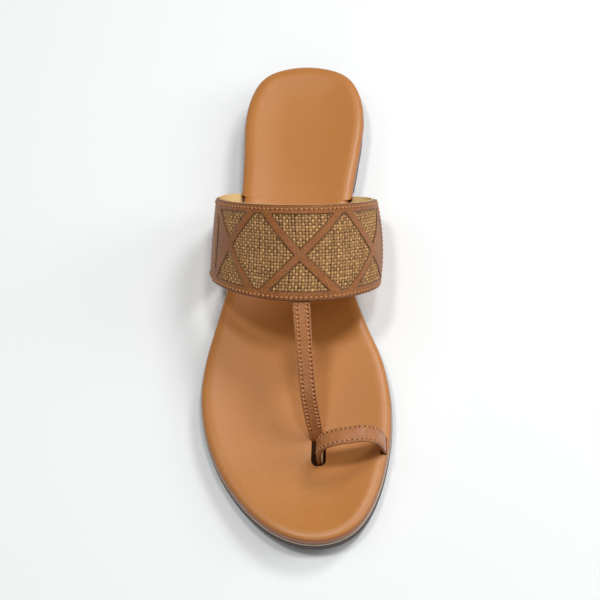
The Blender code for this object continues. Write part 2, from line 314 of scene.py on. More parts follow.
# %% The sole's outline and side profile, mm
SOLE_LENGTH = 249.0
TOE_TIP_X = 10.0
SOLE_ROWS = (
    # y,     lateral, medial
    (119.0,    19.6,   19.8),
    (108.0,    26.6,   26.8),
    (92.0,     29.5,   29.2),
    (72.0,     29.3,   27.2),
    (50.0,     29.4,   24.3),
    (26.0,     31.0,   23.4),
    (4.0,      33.8,   25.0),
    (-16.0,    38.2,   31.6),
    (-34.0,    42.0,   38.9),
    (-52.0,    43.6,   42.8),
    (-68.0,    41.6,   43.4),
    (-86.0,    35.5,   41.2),
    (-104.0,   24.2,   36.2),
    (-117.0,   11.0,   28.4),
)
LAYER_GAP = 0.3
OUTSOLE_TOP = 4.8
MIDSOLE_TOP = OUTSOLE_TOP + LAYER_GAP + 1.2
FOOTBED_TOP = MIDSOLE_TOP + LAYER_GAP + 5.2
JUST_ABOVE = 0.02
TOE_SPRING = 5.0
SPRING_START = -82.0
HEEL_RISE = 6.0
ARCH_START = -28.0
ARCH_END = 70.0
TUCK_ZONE = (5.0, 45.0)
MIDDLE_END = 26.0
SMALL_TURN = 0.002


def edge_curve(angles):
    """Points of the sole's edge: y = cos(angle) of the half length, x through the table, heel at 0."""
    half = SOLE_LENGTH / 2
    turn = 2 * math.pi
    y, lateral, medial = np.array(SOLE_ROWS).T
    knots = np.arccos(y / half)
    knots = np.concatenate([[0], knots, [math.pi], turn - knots[::-1]])
    across = np.concatenate([[0], medial, [TOE_TIP_X], -lateral[::-1]])
    knots = np.concatenate([knots[-2:] - turn, knots, knots[:2] + turn])
    across = np.concatenate([across[-2:], across, across[:2]])
    return np.column_stack([smooth(knots, across, np.mod(angles, turn)), half * np.cos(angles)])


def angle_at(y, side):
    """The edge curve's angle at y, on the inner side (+1) or the outer side (-1)."""
    angles = np.arccos(np.clip(np.atleast_1d(y) / (SOLE_LENGTH / 2), -1, 1))
    return angles if side > 0 else 2 * math.pi - angles


def edge_at(y, side):
    """x of the sole's edge at y."""
    return edge_curve(angle_at(y, side))[:, 0]


def ground(y):
    """Underside of the bare sole: toe spring, flat forefoot, and the arch that rises to the heel."""
    spring = np.clip((SPRING_START - np.asarray(y, float)) / (SPRING_START + SOLE_LENGTH / 2), 0, None)
    return TOE_SPRING * spring**2 + HEEL_RISE * ramp(ARCH_START, ARCH_END, y)


def edge_frame(angles):
    """For each angle: the edge point, the direction inwards, and the sole's middle line beside it."""
    edge = edge_curve(angles)
    along = unit(edge_curve(angles + SMALL_TURN) - edge_curve(angles - SMALL_TURN))
    inward = np.column_stack([along[:, 1], -along[:, 0]])
    reach = SOLE_LENGTH / 2 - MIDDLE_END
    y = np.clip(edge[:, 1], -reach, reach)
    middle = np.column_stack([(edge_at(y, 1) + edge_at(y, -1)) / 2, y])
    return edge, inward, middle


def sole_grid(angles, rings, tuck=0.0):
    """Rings of a body that follows the sole: each is (inset, height over the underside) or, from the
    last inset ring to the middle line, (inset, height, share of the way). Behind the arch all rings
    are tucked in by some mm more."""
    edge, inward, middle = edge_frame(angles)
    edge = edge + tuck * ramp(*TUCK_ZONE, edge[:, 1])[:, None] * inward
    grid = []
    for inset, height, *share in rings:
        flat = edge + inset * inward
        if share:
            flat = flat + share[0] * (middle - flat)
        grid.append(np.column_stack([flat, ground(flat[:, 1]) + height]))
    return np.stack(grid)


def to_middle(inset, height, count):
    """An inset ring and even steps from it to the middle line."""
    return [(inset, height, share) for share in np.linspace(0, 1, count + 1)]


def rounded(edge, level, radius, count):
    """Rings round a corner: a quarter circle up from a bottom at this level or, when the radius is
    negative, up to a top."""
    turn = np.linspace(0, math.pi / 2, count)
    rings = list(zip(edge + abs(radius) * (1 - np.sin(turn)), level + radius * (1 - np.cos(turn))))
    return rings if radius > 0 else rings[::-1]


print("ball width, mm:", round(float((edge_at(-60, 1) - edge_at(-60, -1))[0]), 1))

# %% [markdown]
# ## Stage, camera and light
#
# The shoe stands on a plain pale floor, and the camera looks down at the toe from a steep angle. Two
# small lights hang high over the shoe's sides, so that the band and the loop throw shadows with a plain
# edge. Five larger, softer ones fill in from the sides, the heel and the toe, and draw the pale lines
# along the footbed's rolled rim.

# %% Camera
CAMERA_PLACE = Vector((51.5, -366.4, 695.8)) * MM
CAMERA_TILT = 28.0
CAMERA_AIM = Vector((0.0, -2.0, 6.0)) * MM
LENS = 100.0

camera = link("camera", bpy.data.cameras.new("camera"))
camera.data.sensor_width = 36
camera.data.lens = LENS
camera.location = CAMERA_PLACE
camera.rotation_mode = "QUATERNION"
tilt = Euler((math.radians(CAMERA_TILT), 0, 0)).to_quaternion()
swing = Vector((0, 0, -1)).rotation_difference(tilt.inverted() @ (CAMERA_AIM - CAMERA_PLACE))
camera.rotation_quaternion = tilt @ swing
bpy.context.scene.camera = camera
print("camera distance, mm:", round((CAMERA_AIM - CAMERA_PLACE).length / MM))

# %% Floor and light
FLOOR_SIZE = 4.0
LIGHTS = (
    # name,              place (m),              size (m), power (W)
    ("inner over light", (0.22, 0.08, 1.23),     0.18,     3.1),
    ("outer over light", (-0.24, 0.0, 1.22),     0.18,     3.4),
    ("inner light",      (0.77, 0.02, 0.98),     0.50,     1.4),
    ("heel light",       (0.56, 0.58, 0.96),     0.38,     4.8),
    ("outer light",      (-0.77, 0.05, 0.98),    0.60,     1.0),
    ("low light",        (1.11, 0.10, 0.57),     0.60,     3.0),
    ("toe light",        (0.10, -0.96, 0.80),    0.70,     1.3),
)
SKY = 0.12

paper = Finish("floor", {"Base Color": colour(250, 252, 252), "Roughness": 0.9,
                         "Specular IOR Level": 0.1})
corners = FLOOR_SIZE / 2 * np.array([(-1, -1, 0), (1, -1, 0), (1, 1, 0), (-1, 1, 0)])
floor = link("floor", bpy.data.meshes.new("floor"))
floor.data.from_pydata(corners, [], [(0, 1, 2, 3)])
floor.data.materials.append(paper.material)

for name, place, size, power in LIGHTS:
    lamp = link(name, bpy.data.lights.new(name, "AREA"))
    lamp.data.shape = "DISK"
    lamp.data.size = size
    lamp.data.energy = power
    lamp.location = place
    lamp.rotation_euler = (-Vector(place)).to_track_quat("-Z", "Y").to_euler()

sky = bpy.data.worlds.new("sky")
sky.use_nodes = True
background = sky.node_tree.nodes["Background"]
background.inputs["Color"].default_value = colour(250, 252, 253)
background.inputs["Strength"].default_value = SKY
bpy.context.scene.world = sky
bpy.context.scene.view_settings.view_transform = "Standard"

# %% [markdown]
# ## Leather
#
# Leather is a colour that clouds a little, with a grain of small pebbles that shows as relief and as
# slightly duller creases, and with darker, burnished cut edges; on the footbed's walls that darker edge
# colour is partly painted shade. One recipe does for all six leathers; the grain's size and depth and the
# gloss tell the brown straps from the smoother footbed and the matt lining.

# %% Leather finishes


def leather(name, light, dark, burnish_and_shade, grain, depth, gloss, coat=0.0, cloud=14.0):
    """Leather: colour clouds from dark to light, darker edge colour where edges are painted (burnished,
    on the footbed also painted shade), pebbles of the grain's size in mm, and fine pores."""
    finish = Finish(name, {"Coat Weight": coat, "Coat Roughness": 0.35})
    clouds = finish.noise(cloud, detail=4.0)
    mottle = finish.noise(grain * 2.5, detail=2.0)
    pebble = finish.pebbles(grain)
    pores = finish.noise(grain * 0.35, detail=1.0)
    shade = (clouds * 0.5 + mottle * 0.35 + pebble * 0.3 - 0.25).clipped() * 1.15
    tanned = finish.mix(shade.clipped(), dark, light)
    finish.feed("Base Color", finish.mix(finish.painted("edge"), tanned, burnish_and_shade))
    finish.feed("Roughness", (1 - pebble) * 0.12 + mottle * 0.08 + gloss)
    finish.relief(pebble * 0.8 + pores * 0.35, depth)
    return finish


strap_leather = leather("strap leather", (192, 119, 45), (132, 72, 20), (72, 38, 18),
                        0.75, 0.22, 0.38, coat=0.09)
# Painted light: the T-strap and the loop use a lighter copy of the strap leather, so that they look as
# brightly lit as the band.
lit_strap_leather = leather("strap leather painted lighter", (212, 138, 74), (164, 98, 50), (92, 52, 28),
                         0.75, 0.2, 0.33, coat=0.34)
edge_leather = leather("edge leather", (190, 122, 72), (150, 90, 50), (110, 62, 34), 0.6, 0.03, 0.5)
# The footbed's edge colour goes on its outer wall and on the cut walls: partly a burnished edge, partly
# painted shade.
footbed_leather = leather("footbed leather", (200, 135, 71), (184, 117, 55), (158, 86, 31),
                          0.55, 0.012, 0.29, coat=0.14, cloud=30.0)
lining_leather = leather("lining leather", (240, 212, 152), (222, 186, 122), (132, 82, 46),
                         0.6, 0.03, 0.55)
# The backing's dark brown is partly its own colour and partly painted shade in the gaps between the
# threads.
backing_and_gap_shade = leather("inlay backing", (92, 62, 32), (58, 38, 20), (40, 26, 14), 0.5, 0.03, 0.7)

# %% Painted shade in holes


def hole_painted_shade(name, deep, rim):
    """Painted shade for a hole: matt, dark and almost without reflection, where only shade would be."""
    finish = Finish(name, {"Roughness": 0.9, "Specular IOR Level": 0.15})
    finish.feed("Base Color", finish.mix(finish.noise(0.8, detail=1.0), deep, rim))
    return finish


# A dark sheet down in the slit: painted shade.
slit_painted_shade = hole_painted_shade("slit painted shade", (40, 21, 10), (62, 35, 17))
# Dark domes at the needle holes: painted shade where the thread goes into the leather.
needle_hole_shade = hole_painted_shade("needle hole", (76, 42, 22), (108, 63, 34))

# %% [markdown]
# ## Outsole
#
# The outsole is moulded rubber: a slab that follows the foot, and a low heel under its back. The CAD node
# with a better material would do, but its outline has few enough corners to show. So the same rings are
# worked out again with many more steps, and the underside gets a plain tread of shallow grooves that the
# mould would leave.

# %% Rubber
rubber = Finish("rubber", {})
speckle = rubber.noise(0.5, detail=3.0)
streaks = rubber.noise(2.2, place=rubber.place(stretch=(1, 1, 6)), detail=2.0)
rubber.feed("Base Color", rubber.mix(speckle * 0.6 + streaks * 0.4, (52, 39, 36), (76, 60, 54)))
rubber.feed("Roughness", streaks * 0.2 + 0.48)
rubber.relief(speckle * 0.7 + streaks * 0.5, 0.05)

# %% Slab
OUTSOLE_INSET = -0.1
OUTSOLE_TUCK = 1.3
LOWER_ROUNDING = 0.9
UPPER_ROUNDING = 0.4
OUTLINE_STEPS = 420
TREAD_PITCH = 6.0
TREAD_DEPTH = 0.55
TREAD_MARGIN = 9.0
TREAD_FADE = 3.0
TREAD_ZONES = ((-96.0, -36.0), (70.0, 112.0))
MARGINS = (7.0, 5.0, 3.0)
FACE_INSET = 8.0
WALL_START = 1.5
WALL_END = 0.8

outline_angles = np.linspace(0, 2 * math.pi, OUTLINE_STEPS, endpoint=False)


def tread(y, inside):
    """Depth of the tread: cosine grooves across the sole, faded out at the ends and near the edge."""
    wave = 0.5 + 0.5 * np.cos(2 * math.pi * y / TREAD_PITCH)
    zone = sum(ramp(start, start + TREAD_FADE, y) * (1 - ramp(end - TREAD_FADE, end, y))
               for start, end in TREAD_ZONES)
    return TREAD_DEPTH * wave**2 * zone * ramp(TREAD_MARGIN - 2, TREAD_MARGIN, inside)


# The rings go from the underside's middle line out, round the lower edge, up the wall and back.
rings = to_middle(TREAD_MARGIN, 0, 14)[::-1] + [(inset, 0) for inset in MARGINS]
under = slice(len(rings))
rings += rounded(OUTSOLE_INSET, 0, LOWER_ROUNDING, 6)
rings += [(OUTSOLE_INSET, height) for height in np.linspace(WALL_START, OUTSOLE_TOP - WALL_END, 4)]
rings += rounded(OUTSOLE_INSET, OUTSOLE_TOP, -UPPER_ROUNDING, 5)
rings += [(MARGINS[-1], OUTSOLE_TOP)] + to_middle(FACE_INSET, OUTSOLE_TOP, 2)
grid = sole_grid(outline_angles, rings, OUTSOLE_TUCK)
x, y, z = np.moveaxis(grid[under], -1, 0)
z += tread(y, np.hypot(x - x[-1], y - y[-1]) + MARGINS[-1]) * (y < 0)
shell("outsole_slab", grid, rubber, "outsole", replaces=("outsole",))

# %% Heel
HEEL_BREAST = 60.0
HEEL_INSET = 1.3
HEEL_ROUNDING = 0.7
HEEL_CENTRE_Y = 93.0
HEEL_TOP = HEEL_RISE + 2.0
CURVED_STEPS = 150
STRAIGHT_STEPS = 61
HEEL_RINGS = 22


def upright(centre, outline, rings):
    """Copies of an outline round a centre, each at its own (scale, height)."""
    return np.stack([np.column_stack([centre + scale * outline, np.full(len(outline), height)])
                     for scale, height in rings])


# The sole's edge behind the breast, closed by a straight line; each ring is drawn towards one point.
start = angle_at(HEEL_BREAST, 1)[0]
edge, inward, _ = edge_frame(np.linspace(-start, start, CURVED_STEPS))
curved = edge + HEEL_INSET * inward
share = np.linspace(0, 1, STRAIGHT_STEPS + 1)[1:-1, None]
outline = np.vstack([curved, curved[-1] + share * (curved[0] - curved[-1])])
centre = np.array([np.mean(outline[:, 0]), HEEL_CENTRE_Y])
outline -= centre
reach = np.linalg.norm(outline, axis=1, keepdims=True)
shares = np.linspace(0, 1, HEEL_RINGS, endpoint=False)
rings = [(share, 0) for share in shares]
rings += [(1 - inset / reach, height) for inset, height in rounded(0, 0, HEEL_ROUNDING, 6)]
rings += [(1, height) for height in np.linspace(WALL_START, HEEL_TOP, 4)]
grid = upright(centre, outline, rings + [(0.5, HEEL_TOP), (0, HEEL_TOP)])
x, y, z = np.moveaxis(grid[:HEEL_RINGS], -1, 0)
z += tread(y, (reach * (1 - shares)).T)
shell("outsole_heel", grid, rubber, "outsole")

# %% [markdown]
# ## Midsole
#
# A thin board lies between the outsole and the footbed. Only its cut edge shows, as a pale line round
# the shoe. It is the same kind of rings again.

# %% Board
MIDSOLE_ROUNDING = 0.28
MIDSOLE_TUCK = 0.8

board = Finish("leather board", {"Roughness": 0.75})
fibres = board.noise(1.4, place=board.place(stretch=(1, 1, 5)), detail=3.0)
board.feed("Base Color", board.mix(fibres, (170, 150, 130), (214, 198, 180)))
board.relief(fibres, 0.06)

low = OUTSOLE_TOP + JUST_ABOVE
rings = to_middle(FACE_INSET, low, 2)[::-1] + rounded(0, low, MIDSOLE_ROUNDING, 5)
rings += rounded(0, MIDSOLE_TOP, -MIDSOLE_ROUNDING, 5) + to_middle(FACE_INSET, MIDSOLE_TOP, 2)
grid = sole_grid(outline_angles, rings, MIDSOLE_TUCK)
shell("midsole_board", grid, board, "midsole", replaces=("midsole",))

# %% [markdown]
# ## Footbed
#
# The footbed is foam under smooth tan leather. Its rim is rolled over at the outside and runs down into a
# shallow dish, and it gives way in notches where the band goes down beside it. The straps' post goes
# through a slit, towards which the leather dips, and the loop's outer end through a slot. A cloth
# simulation could puff the footbed up, but the real one is glued flat and tight, so a profile carried
# round the sole's outline is closer.

# %% Dish, notches, slit and slot
FOOTBED_INSET = 0.35
FOOTBED_ROUNDING = 0.5
FOOTBED_REACH = 14.0
FOOTBED_DISH = (
    # in,  below the rim's top
    (0.0,  2.60),
    (0.35, 1.62),
    (1.0,  0.95),
    (2.0,  0.44),
    (3.2,  0.12),
    (4.4,  0.00),
    (5.8,  0.14),
    (8.0,  0.52),
    (11.0, 1.02),
    (14.0, 1.46),
    (19.0, 2.06),
    (26.0, 2.62),
    (34.0, 2.95),
    (46.0, 3.15),
)
DISH_STEPS = 79
MIDDLE_RINGS = 30
DIPPED_RINGS = 60
RIM_SHADE_AND_BURNISH = (0.35, 1.1)
NOTCHES = (
    # side, from y, to y,  depth, lean at the rim's top
    (-1,    14.4,   53.4,  1.4,   -5.8),
    (1,     8.4,    51.2,  1.7,   -6.0),
)
NOTCH_CORNER = 0.5
NOTCH_STEP = 0.25
EVEN_STEPS = 231
SLIT_CENTRE = (10.9, -79.1)
SLIT_SIZE = np.array([6.6, 15.6])
SLIT_CORNER = 2.9
SLIT_DIP = (0.35, 2.4)
SLOT_CENTRE = (39.75, -77.9)
SLOT_SIZE = np.array([2.9, 8.6])
SLOT_CORNER = 0.9
HOLLOWS = (
    # x,   y,     half width, half length, depth
    (0.0,  86.0,  20.0,       30.0,        0.35),
    (-2.0, -58.0, 30.0,       26.0,        0.30),
)


def notch_depth(angles, climb):
    """How far the footbed's edge gives way at each angle, at a share of the climb to the rim's top."""
    depth = np.zeros(len(angles))
    for side, start, end, deep, lean in NOTCHES:
        y = SOLE_LENGTH / 2 * np.cos(angles) - climb * lean
        in_notch = ramp(start - NOTCH_CORNER, start, y) * (1 - ramp(end, end + NOTCH_CORNER, y))
        depth += deep * (np.sin(angles) * side > 0) * in_notch
    return depth


def footbed_angles():
    """Even angles, with more of them where a notch begins or ends. The two sides have the same ones,
    so that their rings meet point by point on the middle line."""
    half = [np.linspace(0, math.pi, EVEN_STEPS)]
    for side, start, end, _, lean in NOTCHES:
        for y in (start - NOTCH_CORNER, end):
            steps = 5 + round(abs(lean) / NOTCH_STEP)
            half.append(angle_at(np.linspace(y + lean, y + NOTCH_CORNER, steps), side))
    half = np.unique(np.round(np.arccos(np.cos(np.concatenate(half))), 4))[1:-1]
    half = np.concatenate([[0], half, [math.pi]])
    return np.concatenate([half, 2 * math.pi - half[-2:0:-1]])


def from_slit(x, y):
    """Distance to the slit's outline, a rectangle with rounded corners; 0 inside it."""
    gap = np.abs(np.stack([x, y], axis=-1) - SLIT_CENTRE) - (SLIT_SIZE / 2 - SLIT_CORNER)
    return np.clip(np.linalg.norm(np.clip(gap, 0, None), axis=-1) - SLIT_CORNER, 0, None)


# %% Footbed
# The rings go up the wall, over the rolled rim and across the dish to the middle line.
low = MIDSOLE_TOP + JUST_ABOVE
knots = np.arange(len(FOOTBED_DISH))
dish = smooth(knots, FOOTBED_DISH, np.linspace(0, knots[-1], DISH_STEPS))
rings = to_middle(FOOTBED_REACH, low, 2)[::-1] + rounded(FOOTBED_INSET, low, FOOTBED_ROUNDING, 4)
rings += [(FOOTBED_INSET, low + height) for height in (1.0, 1.8)]
rings += [(FOOTBED_INSET + inwards, FOOTBED_TOP - down) for inwards, down in dish
          if inwards < FOOTBED_REACH]
rings += to_middle(FOOTBED_REACH + FOOTBED_INSET, FOOTBED_TOP, MIDDLE_RINGS)[1:]
angles = footbed_angles()
grid = sole_grid(angles, rings)
_, inward, middle = edge_frame(angles)

# Beyond the rim's reach the dish goes on at the distance each ring has come, level at the middle line.
half_width = (edge_at(middle[:, 1], 1) - edge_at(middle[:, 1], -1)) / 2
share = np.linspace(0, 1, MIDDLE_RINGS + 1)[1:, None]
way = share * (1 - share / 2) * (half_width - FOOTBED_REACH - FOOTBED_INSET)
grid[-MIDDLE_RINGS:, :, 2] -= np.interp(FOOTBED_REACH + way, *dish.T)

# The notches lean with the band as they climb, and fade out towards the middle.
for ring, (inset, height, *_) in zip(grid, rings):
    share = 1 - ramp(0, FOOTBED_REACH, min(inset, FOOTBED_REACH))
    climb = min((height - low) / (FOOTBED_TOP - low), 1.0)
    ring[:, :2] += (notch_depth(angles, climb) * share)[:, None] * inward

# The leather dips towards the slit and is pressed in where the heel and the ball of the foot stand.
x, y, z = np.moveaxis(grid[-DIPPED_RINGS:], -1, 0)
depth, width = SLIT_DIP
z -= depth * bell(from_slit(x, y), width)
for centre_x, centre_y, half_width, half_length, deep in HOLLOWS:
    z -= deep * bell(np.hypot((x - centre_x) / half_width, (y - centre_y) / half_length), 1.0)
# The outer wall is painted in the darker edge colour: partly a burnished edge, partly painted shade where
# the wall turns down to the midsole.
inset = np.array([ring[0] for ring in rings])[:, None]
footbed = shell("footbed_pad", grid, footbed_leather, "footbed",
                paint={"edge": 1 - ramp(*RIM_SHADE_AND_BURNISH, inset)}, replaces=("footbed",))

# %% Slit and slot
CUTTER_HEIGHTS = (1.0, 25.0)
SHARP_ANGLE = math.radians(50)


def rounded_outline(size, corner, steps):
    """A rectangle with rounded corners: sign * (size / 2 - corner) + corner * circle."""
    turn = (np.arange(steps) + 0.5) * 2 * math.pi / steps
    ring = np.column_stack([np.cos(turn), np.sin(turn)])
    return np.sign(ring) * (size / 2 - corner) + corner * ring


def cut_through(item, centre, size, corner):
    """An exact Boolean with an upright prism, a rectangle with rounded corners, applied to the mesh."""
    prism = upright(centre, rounded_outline(size, corner, 48), [(1, height) for height in CUTTER_HEIGHTS])
    # The cutter is painted edge = 1, so the cut walls of the slit and the slot take the footbed's darker
    # edge colour: a burnished edge and painted shade.
    cutter = link("cutter", outward_mesh("cutter", *tube(prism), {"edge": 1.0}))
    step = item.modifiers.new("cut", "BOOLEAN")
    step.operation = "DIFFERENCE"
    step.solver = "EXACT"
    step.object = cutter
    cut = bpy.data.meshes.new_from_object(item.evaluated_get(bpy.context.evaluated_depsgraph_get()))
    item.modifiers.clear()
    item.data = cut
    item.data.set_sharp_from_angle(angle=SHARP_ANGLE)
    bpy.data.objects.remove(cutter)


cut_through(footbed, SLIT_CENTRE, SLIT_SIZE, SLIT_CORNER)
cut_through(footbed, SLOT_CENTRE, SLOT_SIZE, SLOT_CORNER)

# %% Painted shade at the slit's bottom
SLIT_SHADE_GAP = 0.05
SLIT_SHADE_RINGS = (
    # scale, height over the midsole
    (1.0, -0.1),
    (1.0, 0.6),
    (0.9, 0.75),
    (0.5, 0.8),
)
# A dark sheet just above the midsole is painted shade, standing in for the shade down in the slit.
outline = rounded_outline(SLIT_SIZE - 2 * SLIT_SHADE_GAP, SLIT_CORNER - SLIT_SHADE_GAP, 40)
rings = [(scale, MIDSOLE_TOP + height) for scale, height in SLIT_SHADE_RINGS]
body("slit_shade", upright(SLIT_CENTRE, outline, rings), slit_painted_shade, "footbed")

# %% [markdown]
# ## Flat work on a curved sheet
#
# Leather is cut, woven and stitched flat, and bent into shape afterwards. The band is made here in the
# same order. Its middle surface is one curved grid, and everything on it is worked out flat: mm along the
# band from its middle, mm across from its rear edge, and mm out from the surface. The last step lays
# those flat points on the grid, so no piece has to know how the band curves.

# %% The band's middle surface
BAND_WALL = 2.6
BAND_PROUD = 0.6
BAND_APEXES = {
    # edge:  x,    y,     z
    "rear":  (3.0, 15.7,  62.0),
    "front": (4.0, -25.7, 49.5),
}
BAND_SIDES = {
    # side:  {edge: (foot y, widest x, height of the widest)}
    -1: {"rear": (52.4, -38.4, 28.0), "front": (15.5, -40.0, 20.0)},
    1:  {"rear": (50.2, 34.8, 27.0), "front": (9.5, 36.6, 23.0)},
}
BAND_CROWN = {-1: 0.3, 0: 0.8, 1: 1.7}
FOOT_UPRIGHT = 0.3
SIDE_UPRIGHT = 0.55
ARCH_FULLNESS = 0.46
ARCH_SAMPLES = 200
BAND_ROWS = 61
BAND_COLUMNS = 321


def between(edges, share):
    """A row of values between those of the rear edge (share 0) and the front edge (share 1)."""
    rear, front = np.array(edges["rear"]), np.array(edges["front"])
    return rear + share * (front - rear)


def half_arch(side, foot_y, wide_x, wide_z, apex):
    """One side of the band's arch: two Beziers, foot to widest point to apex, leaning as they climb."""
    foot_z = float(ground(foot_y)) + MIDSOLE_TOP + 2 * LAYER_GAP
    foot_x = edge_at(foot_y, side)[0] - side * (BAND_WALL / 2 - BAND_PROUD)
    rise = wide_z - foot_z
    places = np.linspace(0, 1, ARCH_SAMPLES)
    low = bezier([(foot_x, foot_z), (foot_x, foot_z + FOOT_UPRIGHT * rise),
                  (wide_x, wide_z - SIDE_UPRIGHT * rise), (wide_x, wide_z)], places)
    high = bezier([(wide_x, wide_z), (wide_x, wide_z + ARCH_FULLNESS * (apex[2] - wide_z)),
                   (apex[0] + (1 - ARCH_FULLNESS) * (wide_x - apex[0]), apex[2]),
                   (apex[0], apex[2])], places)
    x, z = np.vstack([low, high[1:]]).T
    lean = (apex[1] - foot_y) / (apex[2] - foot_z)
    return np.column_stack([x, foot_y + lean * (z - foot_z), z])


def band_arch(share):
    """The whole arch at one share of the width, in equal steps of length."""
    swell = 4 * share * (1 - share)
    apex = between(BAND_APEXES, share) + (0, 0, BAND_CROWN[0] * swell)
    halves = {}
    for side in (-1, 1):
        foot_y, wide_x, wide_z = between(BAND_SIDES[side], share)
        halves[side] = half_arch(side, foot_y, wide_x + side * BAND_CROWN[side] * swell, wide_z, apex)
    arch = np.vstack([halves[-1], halves[1][-2::-1]])
    length = travelled(arch)
    places = np.linspace(0, length[-1], BAND_COLUMNS)
    return np.column_stack([np.interp(places, length, arch[:, k]) for k in range(3)])


# %% A curved sheet to lay flat work on
FOOT_SPREAD = 0.9
FOOT_SPREAD_HEIGHT = 18.0


class Sheet:
    """A curved surface: a grid of points, with the direction out of it at each of them."""

    def __init__(self, grid, outward=None):
        if outward is None:
            outward = unit(np.cross(np.gradient(grid, axis=0), np.gradient(grid, axis=1)))
        self.both = np.concatenate([grid, outward], axis=-1)

    def at(self, along, across, out):
        """Points at shares along and across, and so far out: the mean of the four grid points around
        each place, weighted by nearness, and the same mean of their directions out."""
        along, across, out = np.broadcast_arrays(along, across, out)
        rows, columns = self.both.shape[:2]
        row = np.clip((across * (rows - 1)).astype(int), 0, rows - 2)
        column = np.clip((along * (columns - 1)).astype(int), 0, columns - 2)
        down = (across * (rows - 1) - row)[..., None]
        right = (along * (columns - 1) - column)[..., None]
        upper, lower = (self.both[k, column] * (1 - right) + self.both[k, column + 1] * right
                        for k in (row, row + 1))
        mean = upper * (1 - down) + lower * down
        return mean[..., :3] + out[..., None] * unit(mean[..., 3:])


band_shares = np.linspace(0, 1, BAND_ROWS)
grid = np.stack([band_arch(share) for share in band_shares])
outward = Sheet(grid).both[..., 3:]
band_lengths = np.linalg.norm(np.diff(grid, axis=1), axis=2).sum(axis=1)
places = np.linspace(0, 1, BAND_COLUMNS)
from_foot = np.minimum(places, 1 - places) * band_lengths.mean()
# Towards its feet the band stands a little further out.
grid += (FOOT_SPREAD * (1 - ramp(0, FOOT_SPREAD_HEIGHT, from_foot)))[:, None] * outward
band = Sheet(grid, outward)
BAND_WIDTH = float(travelled(grid[:, BAND_COLUMNS // 2])[-1])
print(f"band: {BAND_WIDTH:.1f} mm wide, {band_lengths[0]:.1f} long at the rear edge, "
      f"{band_lengths[-1]:.1f} at the front edge")


def on_band(u, w, out):
    """Flat work laid on the band: u mm along from its middle, inner side positive, w mm from its
    rear edge, and so many mm out."""
    share = w / BAND_WIDTH
    return band.at(0.5 + u / np.interp(share, band_shares, band_lengths), share, out)


# %% [markdown]
# ## Instep band: lining, core and side tabs
#
# Seen from its edge the band is a stack: a cream lining inside, a tan core whose cut edge shows all
# round, and the leather and the woven panel outside. Each layer is one cut with rounded corners carried
# along the band from foot to foot. Solidify would give the same with sharp edges; a drawn cut lets every
# layer have its own width and rounding.

# %% A strap's cut and the layers of the band
FOOT_REACH = 0.006
GROOVE_WIDTH = 0.25
BAND_STEPS = 240
BAND_LAYERS = (
    # name,         finish,         margins,       bottom, top
    ("band_lining", lining_leather, (-0.75, 0.4),  -1.10,  -0.50),
    ("band_core",   edge_leather,   (-0.25, -0.1), -0.50,  0.47),
)


def strap_cut(width, low, high, rounding, count, grooves=(), crown=0.0):
    """A ring round a strap's cut: places across from -width/2 to width/2, and heights.

    Top: high, less a quarter circle at each edge, plus a crown of 1 - (2x / width)^2, less a soft
    bell at each groove's distance from the left edge (or, when negative, from the right one)."""
    x = -np.cos(np.linspace(0, math.pi, count)) * width / 2

    def drop(radius):
        """How far the flat gives way to a quarter circle at each edge."""
        edge = np.clip(width / 2 - np.abs(x), 0, radius)
        return radius - np.sqrt(radius**2 - (radius - edge)**2)

    top = high - drop(rounding) + crown * (1 - (2 * x / width)**2)
    for place, deep in grooves:
        top -= deep * bell(x - (place - math.copysign(width / 2, place)), GROOVE_WIDTH)
    bottom = low + drop(min(rounding, (high - low) / 4))
    return np.concatenate([x, x[::-1]]), np.concatenate([top, bottom[::-1]])


def band_layer(name, finish, span, margins, low, high, rounding=0.2):
    """One layer of the band, between two shares of its length, with a margin at each edge."""
    rear, front = margins
    x, out = strap_cut(BAND_WIDTH - rear - front, low, high, rounding, 60)
    w = x + (BAND_WIDTH + rear - front) / 2
    along = np.linspace(*span, int(BAND_STEPS * (span[1] - span[0])) + 4)
    body(name, band.at(along[:, None], w / BAND_WIDTH, out), finish, "upper")


for name, finish, margins, low, high in BAND_LAYERS:
    band_layer(name, finish, (-FOOT_REACH, 1 + FOOT_REACH), margins, low, high)

# %% [markdown]
# ## Woven panel
#
# Jute thread in a plain weave fills the windows of the band. A bump pattern would look woven only from
# straight above, so the threads are modelled: each is a flattened six-sided tube that waves over and
# under its neighbours, and each direction is one array. Jute is never even, so the threads' widths,
# places and tones vary, from numbers drawn with a fixed seed.

# %% Jute
jute = Finish("jute", {"Roughness": 0.8})
fibre = jute.noise(0.35, place=jute.place("UV", stretch=(0.25, 1.6, 1)), detail=3.0, roughness=0.6)
tone = jute.painted("tone")
lift = jute.painted("lift")
straw = jute.mix((tone * 0.85 + fibre * 0.25).clipped(), (92, 53, 19), (228, 176, 112))
# Where a thread dips under its neighbours (lift below 0) it is painted darker: painted shade in the
# weave's hollows.
jute.feed("Base Color", jute.mix((lift * 0.5 + 0.5).step(0.1, 0.9), (62, 37, 17), straw))
jute.relief(fibre, 0.08)

# %% Threads
WEAVE_PITCH = 1.42
WEAVE_ALONG = (-48.4, 58.1)
WEAVE_ACROSS = (3.2, 40.2)
WEAVE_HEIGHT = 0.72
WEAVE_WAVE = 0.22
BACKING_LEVELS = (0.35, 0.50)
THREAD_HALF = (0.62, 0.26)
THREAD_WIDTHS = (0.78, 1.10)
THREAD_SIDES = 6
THREAD_STEPS = 4
DRIFT = 0.055
DRIFT_LENGTHS = (1.9, 4.3, 9.0)
WEAVE_CROSSINGS = [round((span[1] - span[0]) / WEAVE_PITCH) for span in (WEAVE_ALONG, WEAVE_ACROSS)]

draw = np.random.default_rng(11)


